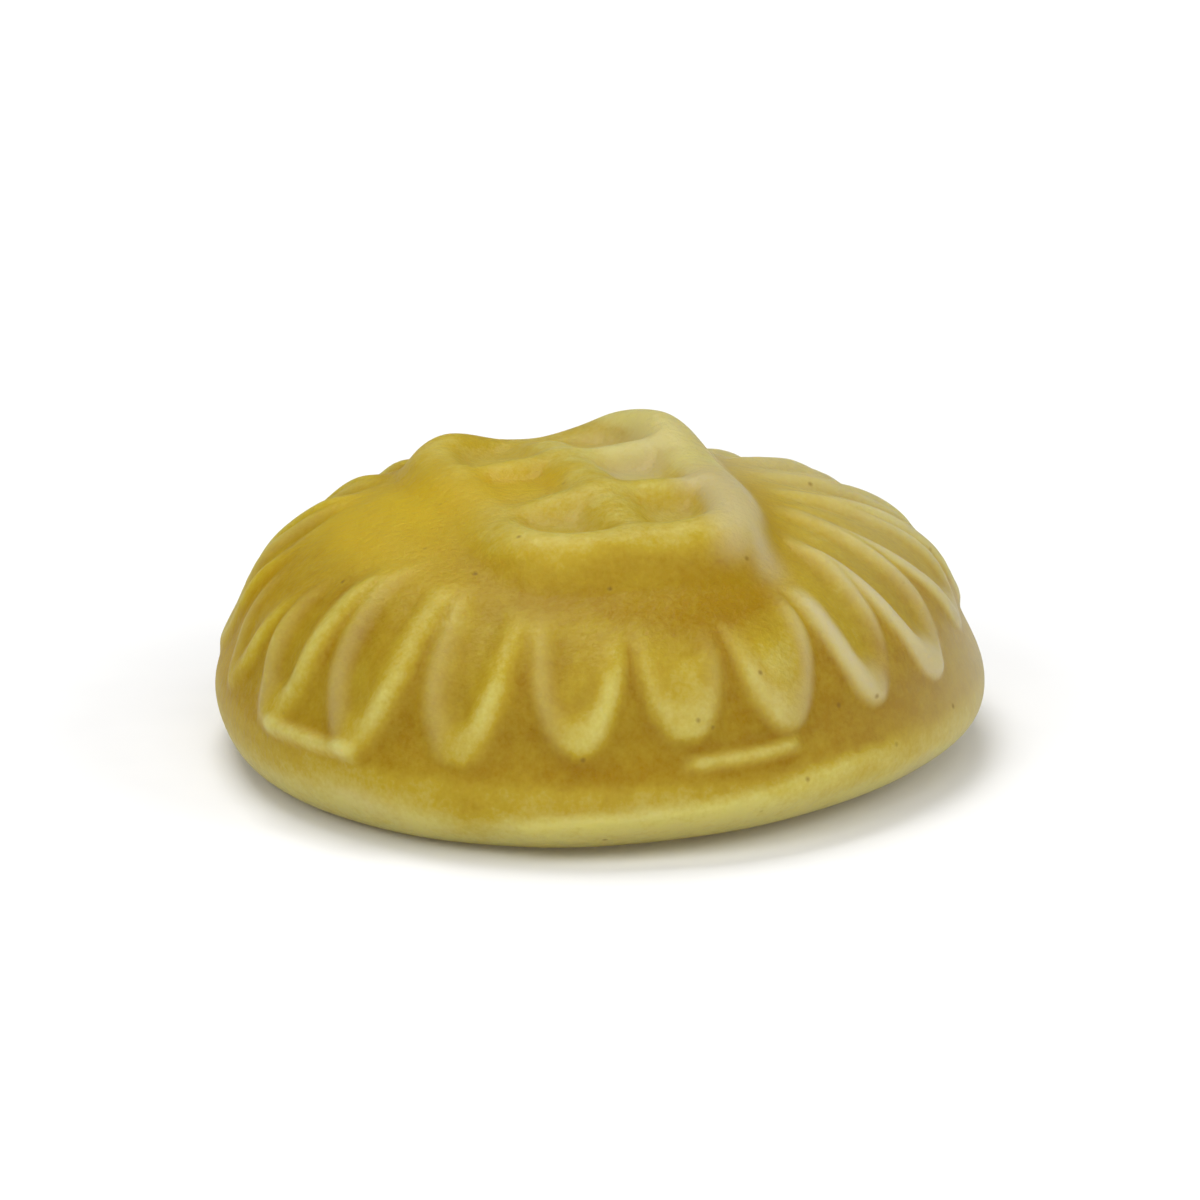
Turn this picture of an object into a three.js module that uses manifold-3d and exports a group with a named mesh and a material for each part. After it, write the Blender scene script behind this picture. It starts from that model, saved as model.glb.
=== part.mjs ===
// A fruit pastille: one moulded gum, a round dome with hollow tongues in raised
// edges running down its side to a smooth rim, a framed lattice of bars on its
// crown, and a shallow dish in the flat side that it lies on. Millimetres and
// degrees, +Z up, the flat side on z = 0, and the origin in its middle.
import * as THREE from "three";
import { mergeVertices } from "three/addons/utils/BufferGeometryUtils.js";
import Module from "manifold-3d";

// The dome: half a superellipse on a rim that swells a little
const DIAMETER = 20;
const RIM_HEIGHT = 1.6;
const CROWN_HEIGHT = 7.0;
const RIM_SWELL = 0.4;
const RIM_SWELL_REACH = 1.8;
const DOME_RADIUS = DIAMETER / 2 - RIM_SWELL;
const DOME_POWER = 2.5;

// The flat side: a rounded edge, a flat ring that it rests on, and a dish
const EDGE_ROUND = 1.5;
const FOOT_WIDTH = 0.7;
const DISH_DEPTH = 0.9;
const DISH_WALL = 2.8;

// The tongues: where each ends above the rim, its half width and the length of its
// tip, all to the crest of its raised edge, then the edge itself and the hollow in it
const TONGUES = 20;
const TONGUE_TURN = -3.6;
const TONGUE_END = 1.35;
const TONGUE_END_RISE = 0.42;
const TONGUE_HALF_WIDTH = 0.98;
const TONGUE_TIP_LENGTH = 2.3;
const TONGUE_TIP_POWER = 1.8;
const RIDGE_PROUD = 0.24;
const RIDGE_OUTER = 0.45;
const RIDGE_INNER = 0.68;
const HOLLOW_DEPTH = 0.25;
const TONGUES_FADE_FROM = 7.1;
const TONGUES_FADE_TO = 3.8;

// The lattice on the crown: one long bar and two across it in a rounded frame, under one
// shallow cap that leans to one side, dips at the frame's far end and along its left
// side, and rises at the right. The tongues fade out short of the frame, further from it
// at the front and on the left, and close to it on the right.
const LONG_BAR_WIDTH = 0.9;
const CROSS_BAR_WIDTH = 0.6;
const CROSS_BAR_PITCH = 3.3;
const BAR_SINK = 0.12;
const BAR_FLANK = 0.55;
const FRAME_WIDTH = 1.2;
const FRAME_POWER = 3.6;
const FRAME_FLANK = 0.55;
const LATTICE_HALF_LENGTH = 5.6;
const LATTICE_HALF_WIDTH = 3.7;
const LATTICE_BESIDE = -0.4;
const LATTICE_HEIGHT = 7.65;
const LATTICE_FALL = 0.5;
const LATTICE_LEAN = 0.05;
const LATTICE_TURN = 17;
const LATTICE_ROOT = 5.4;
const FAR_DIP = { depth: 0.75, along: -5.2, beside: 0.2, reach: 2.6 };
const FAR_RISE = { depth: -0.35, along: -2.8, beside: 3.2, reach: 2.8 };
const LEFT_DIP = { depth: 0.5, along: 1.0, beside: -3.8, reach: 3.4 };
const TONGUES_CLEAR_FROM = 0.3;
const TONGUES_CLEAR_TO = 1.5;
const TONGUE_GROUPS = [
  { azimuth: 20, sharp: 6, shorter: 1.4 },
  { azimuth: -75, sharp: 12, shorter: 3.4 },
  { azimuth: 90, sharp: 4, shorter: -0.2 },
];
const PLUG_RINGS = 7;
const PLUG_SEGMENTS = 56;

// How far the piece is from round and even
const OVAL = 0.014;
const OVAL_TURN = -35;
const THREE_SIDED = 0.011;
const THREE_SIDED_TURN = -20;
const EDGE_ROUND_UNEVEN = 1;
const EDGE_ROUND_TURN = 55;
const TONGUE_WANDER = { along: 0.16, turn: 0.035, width: 0.09 };
const RIDGE_RIPPLE = 0.2;

// How finely the surface is divided: rows of points at lengths above the tongues' tips,
// which follow the tips from side to side, and ten points to a tongue in each row. There
// are fewer points under the lattice, round the edge and in the dish.
const MERIDIAN_STEPS = 400;
const ROWS = [-0.5, -0.3, -0.12, 0.05, 0.25, 0.5, 0.8, 1.2, 1.7, 2.3, 3, 3.8, 4.7, 5.6, 6.6];
const ROWS_LEVEL_FROM = 1.2;
const ROWS_LEVEL_TO = 4.7;
const ROW_UNDER_TIPS = 0.4;
const NARROWEST_CREST = 0.13;
const WIDEST_CREST = 0.43;
const COARSE_SEGMENTS = 80;
const INNER_SEGMENTS = 40;
const CROWN_RADII = [3.2, 1.4];
const EDGE_ANGLES = [22, 45, 68, 90];
const DISH_WALL_SHARES = [1, 0.84];
const DISH_FLOOR_SHARES = [0.68, 0.5];

const radians = THREE.MathUtils.degToRad;
const clamp01 = (x) => THREE.MathUtils.clamp(x, 0, 1);
const smooth = (x) => clamp01(x) ** 2 * (3 - 2 * clamp01(x));

// Azimuth is 0 at the front, which faces -Y, and grows to the right.
const PITCH = (2 * Math.PI) / TONGUES;
const direction = (azimuth) => [Math.sin(azimuth), -Math.cos(azimuth)];

// An even spread of values from -1 to 1, one for each tongue and each trait
const GOLDEN_ANGLE = 2.4;
const wander = (index, trait) => Math.sin(GOLDEN_ANGLE * index + trait);

// An uneven wave from -1 to 1 round the piece
const ripple = (azimuth, times, phase) =>
  (Math.sin(times * azimuth + phase) + Math.sin((times + 4) * azimuth + 2 * phase)) / 2;

// The side of the dome from the rim up, as points an even length apart
function domeMeridian() {
  const height = CROWN_HEIGHT - RIM_HEIGHT;
  const points = [];
  for (let i = 0; i <= MERIDIAN_STEPS; i++) {
    const angle = (i / MERIDIAN_STEPS) * (Math.PI / 2);
    const z = RIM_HEIGHT + height * Math.sin(angle) ** (2 / DOME_POWER);
    const r = DOME_RADIUS * Math.max(Math.cos(angle), 0) ** (2 / DOME_POWER);
    const swell = RIM_SWELL * (1 - smooth((z - RIM_HEIGHT) / RIM_SWELL_REACH));
    points.push(new THREE.Vector2(r + swell, z));
  }
  return points;
}

const MERIDIAN = domeMeridian();
const LENGTHS = [0];
for (let i = 1; i < MERIDIAN.length; i++) {
  LENGTHS.push(LENGTHS[i - 1] + MERIDIAN[i].distanceTo(MERIDIAN[i - 1]));
}
const MERIDIAN_LENGTH = LENGTHS[LENGTHS.length - 1];

// The point and outward normal of the dome's side at a length above the rim
function domeAt(length) {
  let i = LENGTHS.findIndex((l) => l >= length);
  i = Math.max(i < 0 ? LENGTHS.length - 1 : i, 1);
  const share = (length - LENGTHS[i - 1]) / (LENGTHS[i] - LENGTHS[i - 1]);
  const point = MERIDIAN[i - 1].clone().lerp(MERIDIAN[i], share);
  const along = MERIDIAN[i].clone().sub(MERIDIAN[i - 1]).normalize();
  return { r: point.x, z: point.y, normal: [along.y, -along.x] };
}

// How far a place in plan is past the outer edge of the lattice's frame
function pastFrame(x, y) {
  const turn = radians(LATTICE_TURN);
  const a = Math.abs(x * Math.sin(turn) - y * Math.cos(turn)) / LATTICE_HALF_LENGTH;
  const beside = x * Math.cos(turn) + y * Math.sin(turn) - LATTICE_BESIDE;
  const b = Math.abs(beside) / LATTICE_HALF_WIDTH;
  const p = FRAME_POWER;
  const share = Math.max((a ** p + b ** p) ** (1 / p), 0.05);
  const steepA = (a / share) ** (p - 1) / LATTICE_HALF_LENGTH;
  const steepB = (b / share) ** (p - 1) / LATTICE_HALF_WIDTH;
  return (share - 1) / Math.hypot(steepA, steepB);
}

// Where round the piece an azimuth lies, in tongues, and the number of one tongue
const inTongues = (azimuth) => (azimuth - radians(TONGUE_TURN)) / PITCH;
const numberOf = (index) => ((index % TONGUES) + TONGUES) % TONGUES;

// How far above the rim a tongue ends
function tipOf(index, azimuth) {
  const rise = TONGUE_END_RISE * Math.sin(azimuth);
  return TONGUE_END + rise + TONGUE_WANDER.along * wander(numberOf(index), 2);
}

// A tongue's middle, the half width of its raised edge and how far short of full width
// it is at a length above the rim. Both half widths are to the crest.
function tongueAt(index, azimuth, length, radius) {
  const middle = index + TONGUE_WANDER.turn * wander(numberOf(index), 1);
  const wide = TONGUE_HALF_WIDTH * (1 + TONGUE_WANDER.width * wander(numberOf(index), 3));
  const half = Math.max(Math.min(wide, (PITCH * radius) / 2), 0.01);
  const above = (length - tipOf(index, azimuth)) / TONGUE_TIP_LENGTH;
  return { middle, half, short: Math.max(1 - above, 0) * half };
}

// How much shorter the tongues are at an azimuth
function shorterAt(azimuth) {
  let shorter = 0;
  for (const group of TONGUE_GROUPS) {
    const facing = Math.max(Math.cos(azimuth - radians(group.azimuth)), 0);
    shorter += group.shorter * facing ** group.sharp;
  }
  return shorter;
}

// How far the surface stands out of the dome's side: the tongues' raised edges less the
// hollows in them. The edges of two neighbours run as one ridge above and part below.
function tonguesProud(azimuth, length, radius) {
  const turned = inTongues(azimuth);
  const { middle, half, short } = tongueAt(Math.round(turned), azimuth, length, radius);
  const across = Math.abs(turned - middle) * PITCH * radius;
  const p = TONGUE_TIP_POWER;
  const reach = Math.max((across ** p + short ** p) ** (1 / p), 0.001);
  const steepAcross = (across / reach) ** (p - 1);
  const steepAlong = ((short / reach) ** (p - 1) * half) / TONGUE_TIP_LENGTH;
  const inside = (half - reach) / Math.max(Math.hypot(steepAcross, steepAlong), 0.3);
  const ridge = RIDGE_PROUD * (1 + RIDGE_RIPPLE * ripple(azimuth, 7, 1));
  const proud = ridge * smooth(1 + inside / RIDGE_OUTER);
  const hollow = HOLLOW_DEPTH * smooth(inside / RIDGE_INNER);
  const fade = smooth((radius - TONGUES_FADE_TO) / (TONGUES_FADE_FROM - TONGUES_FADE_TO));
  const [x, y] = direction(azimuth);
  const past = pastFrame(x * radius, y * radius) - TONGUES_CLEAR_FROM - shorterAt(azimuth);
  const clear = smooth(past / (TONGUES_CLEAR_TO - TONGUES_CLEAR_FROM));
  return (proud - hollow) * fade * clear;
}

// How much wider or narrower than round the piece is in one direction
function outOfRound(azimuth) {
  const oval = OVAL * Math.cos(2 * (azimuth - radians(OVAL_TURN)));
  const three = THREE_SIDED * Math.cos(3 * (azimuth - radians(THREE_SIDED_TURN)));
  return 1 + oval + three;
}

function edgeRound(azimuth) {
  const turned = (1 + Math.cos(azimuth - radians(EDGE_ROUND_TURN))) / 2;
  return EDGE_ROUND * (1 + EDGE_ROUND_UNEVEN * turned ** 4);
}

const place = (azimuth, r, z) => {
  const [x, y] = direction(azimuth);
  const wide = r * outOfRound(azimuth);
  return new THREE.Vector3(x * wide, y * wide, z);
};

// The azimuths of a row's points: between the tongues, at the feet and the crests of
// their raised edges, twice down into the hollow, and along their middles
function tongueAzimuths(offset) {
  const azimuths = [];
  for (let i = 0; i < TONGUES; i++) {
    const start = radians(TONGUE_TURN);
    const length = tipOf(i, i * PITCH + start) + offset;
    const { r } = domeAt(length);
    const { middle, half, short } = tongueAt(i, i * PITCH + start, length, r);
    const p = TONGUE_TIP_POWER;
    const edge = Math.max(half ** p - short ** p, 0) ** (1 / p) / (PITCH * r);
    const parted = NARROWEST_CREST - Math.min(offset, 0) / 4;
    const crest = Math.min(Math.max(edge, parted), WIDEST_CREST);
    const foot = Math.min(crest + RIDGE_OUTER / (PITCH * r), (crest + 0.5) / 2);
    azimuths.push((i - 0.5) * PITCH + start);
    for (const share of [-foot / crest, -1, -2 / 3, -1 / 3, 0, 1 / 3, 2 / 3, 1, foot / crest]) {
      azimuths.push((middle + share * crest) * PITCH + start);
    }
  }
  return azimuths;
}

const evenAzimuths = (count) =>
  Array.from({ length: count }, (_, i) => {
    const start = radians(TONGUE_TURN) - PITCH / 2;
    return start + (i / count) * 2 * Math.PI;
  });

// The point of the dome's surface at an azimuth and a length above the rim
function domePoint(azimuth, length) {
  const { r, z, normal } = domeAt(length);
  const proud = tonguesProud(azimuth, length, r);
  return place(azimuth, r + normal[0] * proud, z + normal[1] * proud);
}

// A row at a length above the tongues' tips, where it follows them by a share
function tipRow(offset, azimuths, share) {
  return azimuths.map((azimuth) => {
    const turned = inTongues(azimuth);
    const before = Math.floor(turned);
    const blend = smooth(turned - before);
    const tip = (1 - blend) * tipOf(before, azimuth) + blend * tipOf(before + 1, azimuth);
    return domePoint(azimuth, TONGUE_END + offset + share * (tip - TONGUE_END));
  });
}

// The rounded edge from the rim, at angle 0, down to the flat ring, at 90
function edgeRing(angle, azimuths) {
  return azimuths.map((azimuth) => {
    const round = edgeRound(azimuth);
    const r = DIAMETER / 2 - round * (1 - Math.cos(radians(angle)));
    return place(azimuth, r, RIM_HEIGHT * (1 - Math.sin(radians(angle))));
  });
}

// A ring of the dish at a share of the way from its middle to the flat ring
function dishRing(share, azimuths) {
  return azimuths.map((azimuth) => {
    const edge = DIAMETER / 2 - edgeRound(azimuth) - FOOT_WIDTH;
    const z = DISH_DEPTH * smooth((edge * (1 - share)) / DISH_WALL);
    return place(azimuth, edge * share, z);
  });
}

// The rings of the whole piece in order, from near the crown to near the dish's middle
function allRings() {
  const coarse = evenAzimuths(COARSE_SEGMENTS);
  const inner = evenAzimuths(INNER_SEGMENTS);
  const rings = [];
  for (const radius of [...CROWN_RADII].reverse()) {
    rings.push(inner.map((azimuth) => domePoint(azimuth, MERIDIAN_LENGTH - radius)));
  }
  for (const offset of [...ROWS].reverse()) {
    const level = (offset - ROWS_LEVEL_FROM) / (ROWS_LEVEL_TO - ROWS_LEVEL_FROM);
    rings.push(tipRow(offset, tongueAzimuths(offset), 1 - smooth(level)));
  }
  const widest = tongueAzimuths(ROWS[0]);
  rings.push(tipRow(ROW_UNDER_TIPS - TONGUE_END, widest, 0.5));
  rings.push(tipRow(-TONGUE_END, widest, 0));
  for (const angle of EDGE_ANGLES) rings.push(edgeRing(angle, coarse));
  for (const share of DISH_WALL_SHARES) rings.push(dishRing(share, coarse));
  for (const share of DISH_FLOOR_SHARES) rings.push(dishRing(share, inner));
  return rings;
}

// Triangles between two closed rings that may differ in their number of points. Between
// equal rings each four-sided face is split along its shorter diagonal.
function stitch(upper, lower, push) {
  if (upper.length === lower.length) {
    for (let i = 0; i < upper.length; i++) {
      const [a, b] = [upper[i], lower[i]];
      const [c, d] = [upper[(i + 1) % upper.length], lower[(i + 1) % lower.length]];
      if (a.distanceTo(d) < b.distanceTo(c)) {
        push(a, b, d);
        push(a, d, c);
      } else {
        push(a, b, c);
        push(b, d, c);
      }
    }
    return;
  }
  const share = (i, ring) => i / ring.length;
  let i = 0;
  let j = 0;
  while (i < upper.length || j < lower.length) {
    const a = upper[i % upper.length];
    const b = lower[j % lower.length];
    const upperNext = share(i + 1, upper) <= share(j + 1, lower) + 1e-9;
    if (j >= lower.length || (i < upper.length && upperNext)) {
      push(a, b, upper[(i + 1) % upper.length]);
      i++;
    } else {
      push(a, b, lower[(j + 1) % lower.length]);
      j++;
    }
  }
}

function bodyGeometry() {
  const rings = allRings();
  const positions = [];
  const push = (a, b, c) => positions.push(...a.toArray(), ...b.toArray(), ...c.toArray());
  const fan = (ring, point, upwards) => {
    ring.forEach((a, i) => {
      const b = ring[(i + 1) % ring.length];
      if (upwards) push(point, a, b);
      else push(point, b, a);
    });
  };
  fan(rings[0], new THREE.Vector3(0, 0, CROWN_HEIGHT), true);
  for (let i = 1; i < rings.length; i++) stitch(rings[i - 1], rings[i], push);
  fan(rings[rings.length - 1], new THREE.Vector3(0, 0, DISH_DEPTH), false);
  const geometry = new THREE.BufferGeometry();
  geometry.setAttribute("position", new THREE.Float32BufferAttribute(positions, 3));
  return geometry;
}

// One bar: a section with sloping flanks, run along Y and moved sideways
function barGeometry(width, sideways) {
  const top = width / 2;
  const above = LATTICE_HEIGHT + 1;
  const bottom = top + (LATTICE_HEIGHT - LATTICE_ROOT) * BAR_FLANK;
  const section = new THREE.Shape([
    new THREE.Vector2(-bottom, LATTICE_ROOT),
    new THREE.Vector2(bottom, LATTICE_ROOT),
    new THREE.Vector2(top, LATTICE_HEIGHT),
    new THREE.Vector2(top, above),
    new THREE.Vector2(-top, above),
    new THREE.Vector2(-top, LATTICE_HEIGHT),
  ]);
  const length = 2 * LATTICE_HALF_LENGTH + 2;
  const geometry = new THREE.ExtrudeGeometry(section, { depth: length, bevelEnabled: false });
  geometry.translate(sideways, 0, -length / 2);
  return geometry.rotateX(Math.PI / 2);
}

// Height of the frame's top at a place along and beside its long axis
function capHeight(along, beside, share) {
  let top = LATTICE_HEIGHT - LATTICE_FALL * share ** 2;
  for (const place of [FAR_DIP, FAR_RISE, LEFT_DIP]) {
    const away = Math.hypot(along - place.along, beside - place.beside);
    top -= place.depth * (1 - smooth(away / place.reach));
  }
  return top;
}

// A plug in the shape of the frame, cut back by an inset, under the cap. Its side slopes
// outwards on the way down, or inwards for the well inside the frame.
function plugGeometry(inset, slope, above) {
  const flare = ((LATTICE_HEIGHT - LATTICE_ROOT) * slope) / LATTICE_HALF_LENGTH;
  const profile = [new THREE.Vector2(0, LATTICE_ROOT), new THREE.Vector2(1 + flare, LATTICE_ROOT)];
  for (let i = PLUG_RINGS; i >= 0; i--) {
    profile.push(new THREE.Vector2(i / PLUG_RINGS, LATTICE_HEIGHT));
  }
  const geometry = new THREE.LatheGeometry(profile, PLUG_SEGMENTS).rotateX(Math.PI / 2);
  const points = geometry.attributes.position;
  for (let i = 0; i < points.count; i++) {
    const [x, y] = [points.getX(i), points.getY(i)];
    const corner = (Math.abs(x) ** FRAME_POWER + Math.abs(y) ** FRAME_POWER) ** (1 / FRAME_POWER);
    const wider = corner > 0 ? Math.hypot(x, y) / corner : 1;
    const along = x * wider * (LATTICE_HALF_LENGTH - inset);
    const beside = y * wider * (LATTICE_HALF_WIDTH - inset);
    const capped = points.getZ(i) > LATTICE_ROOT + 0.01;
    const top = capHeight(along, beside, Math.hypot(x, y)) + above;
    points.setXYZ(i, along, beside, capped ? top : LATTICE_ROOT);
  }
  return geometry;
}

const wasm = await Module();
wasm.setup();

function solidOf(geometry) {
  const bare = geometry.index ? geometry.toNonIndexed() : geometry.clone();
  bare.deleteAttribute("normal");
  bare.deleteAttribute("uv");
  const merged = mergeVertices(bare, 1e-4);
  return new wasm.Manifold(
    new wasm.Mesh({
      numProp: 3,
      vertProperties: merged.attributes.position.array,
      triVerts: new Uint32Array(merged.index.array),
    }),
  );
}

function geometryOf(solid) {
  const mesh = solid.getMesh();
  const geometry = new THREE.BufferGeometry();
  geometry.setAttribute("position", new THREE.BufferAttribute(mesh.vertProperties, 3));
  geometry.setIndex(new THREE.BufferAttribute(mesh.triVerts, 1));
  geometry.computeVertexNormals();
  return geometry;
}

// The lattice, long along X, then moved a little to its left, turned so that one end
// points front and a little right, and leaned so that its right side is the higher
function latticeSolid() {
  const bars = [
    solidOf(barGeometry(LONG_BAR_WIDTH, 0).rotateZ(Math.PI / 2)),
    solidOf(barGeometry(CROSS_BAR_WIDTH, -CROSS_BAR_PITCH / 2)),
    solidOf(barGeometry(CROSS_BAR_WIDTH, CROSS_BAR_PITCH / 2)),
  ];
  const plug = solidOf(plugGeometry(0, FRAME_FLANK, 0));
  const well = solidOf(plugGeometry(FRAME_WIDTH, -BAR_FLANK, 1));
  const lowered = plug.translate([0, 0, -BAR_SINK]);
  const crossing = bars.reduce((all, bar) => all.add(bar)).intersect(lowered);
  const straight = plug.subtract(well).add(crossing).translate([0, LATTICE_BESIDE, 0]);
  const lattice = straight.rotate([0, 0, LATTICE_TURN - 90]);
  const lean = [1, 0, LATTICE_LEAN, 0, 0, 1, 0, 0, 0, 0, 1, 0, 0, 0, 0, 1];
  return lattice.transform(lean);
}

// Moves the piece so that its box is centred on the origin
function centred(geometry) {
  geometry.computeBoundingBox();
  const middle = geometry.boundingBox.getCenter(new THREE.Vector3());
  return geometry.translate(-middle.x, -middle.y, -geometry.boundingBox.min.z);
}

const gum = new THREE.MeshStandardMaterial({
  name: "yellow_gum",
  color: 0xc2a83c,
  roughness: 0.5,
  metalness: 0,
});

const solid = solidOf(bodyGeometry()).add(latticeSolid());
const pastille = new THREE.Mesh(centred(geometryOf(solid)), gum);
pastille.name = "pastille";

const part = new THREE.Group();
part.add(pastille);

export default part;
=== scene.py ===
import math

import bmesh
import bpy
import numpy as np
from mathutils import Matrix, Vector


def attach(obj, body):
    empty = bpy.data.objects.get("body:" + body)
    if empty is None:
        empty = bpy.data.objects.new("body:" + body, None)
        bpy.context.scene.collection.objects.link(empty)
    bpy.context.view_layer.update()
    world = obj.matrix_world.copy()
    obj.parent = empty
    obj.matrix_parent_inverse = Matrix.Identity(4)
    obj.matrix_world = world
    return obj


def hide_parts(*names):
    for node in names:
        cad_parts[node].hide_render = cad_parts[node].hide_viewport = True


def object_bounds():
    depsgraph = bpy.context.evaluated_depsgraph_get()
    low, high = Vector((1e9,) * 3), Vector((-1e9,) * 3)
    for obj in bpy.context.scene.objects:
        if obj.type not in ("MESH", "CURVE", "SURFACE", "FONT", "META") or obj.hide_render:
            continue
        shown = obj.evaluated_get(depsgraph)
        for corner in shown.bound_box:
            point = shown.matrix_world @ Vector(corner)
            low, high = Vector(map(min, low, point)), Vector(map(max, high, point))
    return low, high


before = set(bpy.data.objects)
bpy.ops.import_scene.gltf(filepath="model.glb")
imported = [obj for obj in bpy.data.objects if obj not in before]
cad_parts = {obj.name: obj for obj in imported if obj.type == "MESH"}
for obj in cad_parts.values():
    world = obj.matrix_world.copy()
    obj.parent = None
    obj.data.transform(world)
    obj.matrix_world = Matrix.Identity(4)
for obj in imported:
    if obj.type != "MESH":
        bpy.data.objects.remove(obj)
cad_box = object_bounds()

# A moulded fruit gum on a pale table. Sizes are in millimetres here and turned to
# metres when a mesh is finished. Azimuth is in radians, 0 at the front, which faces
# -Y, and grows to the right. Length runs up the dome's side from the rim.
MM = 0.001

# The body, as the solid has it
RADIUS = 10.0
RIM_HEIGHT = 1.6
CROWN_HEIGHT = 7.0
RIM_SWELL = 0.4
RIM_SWELL_REACH = 1.8
DOME_POWER = 2.5
EDGE_ROUND = 1.5
EDGE_ROUND_UNEVEN = 1.0
EDGE_ROUND_TURN = math.radians(55)
FOOT_WIDTH = 0.7
DISH_DEPTH = 0.9
DISH_WALL = 2.8
OVAL, OVAL_TURN = 0.014, math.radians(-35)
THREE_SIDED, THREE_SIDED_TURN = 0.011, math.radians(-20)

# How much of the way in from the rim goes round the bottom edge, where the foot ends on
# it, and the faint waves of the dish, which hardly reach below the foot
EDGE_LENGTH = 2.4
FOOT_END = EDGE_LENGTH + FOOT_WIDTH
DISH_WAVE = 0.08
DISH_WAVE_LOWEST = -0.02

# The tongues, a little finer than the solid has them
TONGUES = 20
PITCH = 2 * math.pi / TONGUES
TONGUE_TURN = math.radians(-3.6)
TONGUE_END = 1.35
TONGUE_END_RISE = 0.42
TONGUE_HALF_WIDTH = 0.98
TONGUE_TIP_LENGTH = 2.3
TONGUE_TIP_POWER = 1.8
RIDGE_PROUD = 0.24
RIDGE_OUTER = 0.42
RIDGE_INNER = 0.62
HOLLOW_DEPTH = 0.24
TONGUES_FADE_FROM = 7.1
TONGUES_FADE_TO = 3.8
TONGUES_CLEAR_FROM = 0.3
TONGUES_CLEAR_TO = 1.5
TONGUE_GROUPS = (
    {"azimuth": 20, "sharp": 6, "shorter": 1.4},
    {"azimuth": -75, "sharp": 12, "shorter": 3.4},
    {"azimuth": 90, "sharp": 4, "shorter": -0.2},
)
SHORTER_CLEARS = 0.25

# How each tongue differs from the next in its place, as a share of the pitch, in its end,
# in millimetres, and in its width, as a share. The golden angle spreads the differences
GOLDEN_ANGLE = 2.4
PLACE_DIFFERS, PLACE_TRAIT = 0.035, 1
END_DIFFERS, END_TRAIT = 0.16, 2
WIDTH_DIFFERS, WIDTH_TRAIT = 0.09, 3

# The edge of a tongue that faces the front is the stronger one, most of all at the right,
# where the edges are thinner too. Left of the front they are broader
RIDGE_SIDED = 0.28
RIDGE_SIDED_TURN = math.radians(12)
RIDGE_SIDED_SWITCH = 2.2
RIDGE_SIDED_EVEN = 0.75
RIDGE_SIDED_RIGHT = 1.2
RIDGE_THIN_RIGHT = 0.35
RIDGE_BROAD, RIDGE_BROAD_TURN, RIDGE_BROAD_REACH = 0.25, -0.66, 0.5

# The edges are uneven in height, and none is much prouder than the others. Their painted
# pale highlight is weaker high up the side, and stronger on the stronger edge
RIDGE_UNEVEN = 0.35
RIDGE_WAVE = 0.2
RIDGE_HIGHEST = 1.25
HOLLOW_WAVE = 0.3
SHINE_FADE = 0.5
SHINE_SIDED = 1.5 * RIDGE_SIDED

# Tips that are filled to their edges, tips that lie lower or higher at an azimuth in
# degrees, pads at the front right where other tongues are hollow, and edges that are
# sunk where they would notch the outline
FILLED_TIP = 0.25
FILLED_TIP_FADE = 1.1
TIP_SHIFTS = ((-38, -0.35), (14, 0.45))
TIP_SHARP = 200
PAD_FILL = 0.8
SUNK_LEFT, SUNK_RIGHT, SUNK_BEHIND = 0.4, 0.7, 0.7

# Thin ledges that join two tips at their foot: from and to in degrees, then how far
# above the rim each starts and stops
LEDGES = (
    (12, 34, 0.94, 1.1),
    (-59, -36, 0.72, 0.72),
    (148, 166, 0.95, 0.9),
    (-131, -112, 0.8, 0.85),
)
LEDGE_HALF_WIDTH = 0.36
LEDGE_PROUD = 0.25
LEDGE_ENDS = 6

# A rounded lip on the rim, that starts with a step a little left of the front and climbs
# to the right, in degrees and millimetres along the surface from the rim
LIP_FROM, LIP_TO = -14, 62
LIP_LOW, LIP_HIGH = -0.25, 0.95
LIP_EDGE = 0.4
LIP_DEPTH = 0.9
LIP_PROUD = 0.18
LIP_STEP, LIP_RUN_OUT = 16, 2.5

# The lattice on the crown: one long bar and two across it in a rounded frame that dips
# at its far end and along its left side, and stands highest at the right
LONG_BAR_HALF_WIDTH = 0.6
CROSS_BAR_HALF_WIDTH = 0.45
CROSS_BAR_PITCH = 3.3
BAR_EDGE_ROUND = 0.6
BAR_EDGE_DROP = 0.25
BAR_SINK = 0.12
BAR_FLANK = 0.6
BAR_BLEND = 0.5
BAR_BLEND_DROP = 0.06
FRAME_WIDTH = 1.3
FRAME_POWER = 3.6
FRAME_FLANK = 0.5
LATTICE_HALF_LENGTH = 5.7
LATTICE_HALF_WIDTH = 3.8
LATTICE_BESIDE = -0.4
LATTICE_HEIGHT = 7.7
LATTICE_FALL = 0.5
LATTICE_FALL_MOST = 1.2
LATTICE_LEAN = 0.05
LATTICE_TURN = math.radians(17)
LATTICE_BLEND = 0.7
LATTICE_REACH = 8
LATTICE_REACH_FADE = 1.5
FAR_DIP = {"depth": 0.75, "along": -5.2, "beside": 0.2, "reach": 2.6}
FAR_RISE = {"depth": -0.35, "along": -2.8, "beside": 3.2, "reach": 2.8}
LEFT_DIP = {"depth": 0.5, "along": 1.0, "beside": -3.8, "reach": 3.4}

# The gentle unevenness of the whole piece and, after each, how far apart its waves are
# and the seed of their random draws. Seven waves are mixed, and their sum seldom passes
# four. The foot is left flat
SWELL, SWELL_WAVES = 0.05, (5.0, 3)
RIPPLE, RIPPLE_WAVES = 0.012, (1.1, 4)
SIDEWAYS, SIDEWAYS_WAVES = 0.003, (4.0, 5)
UNEVEN_ABOVE = 1.0
WAVES_MIXED = 7
WAVES_PEAK = 4
WAVE_SPREAD = (0.8, 1.4)
WAVE_STARTS = (0, 6.28)

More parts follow.
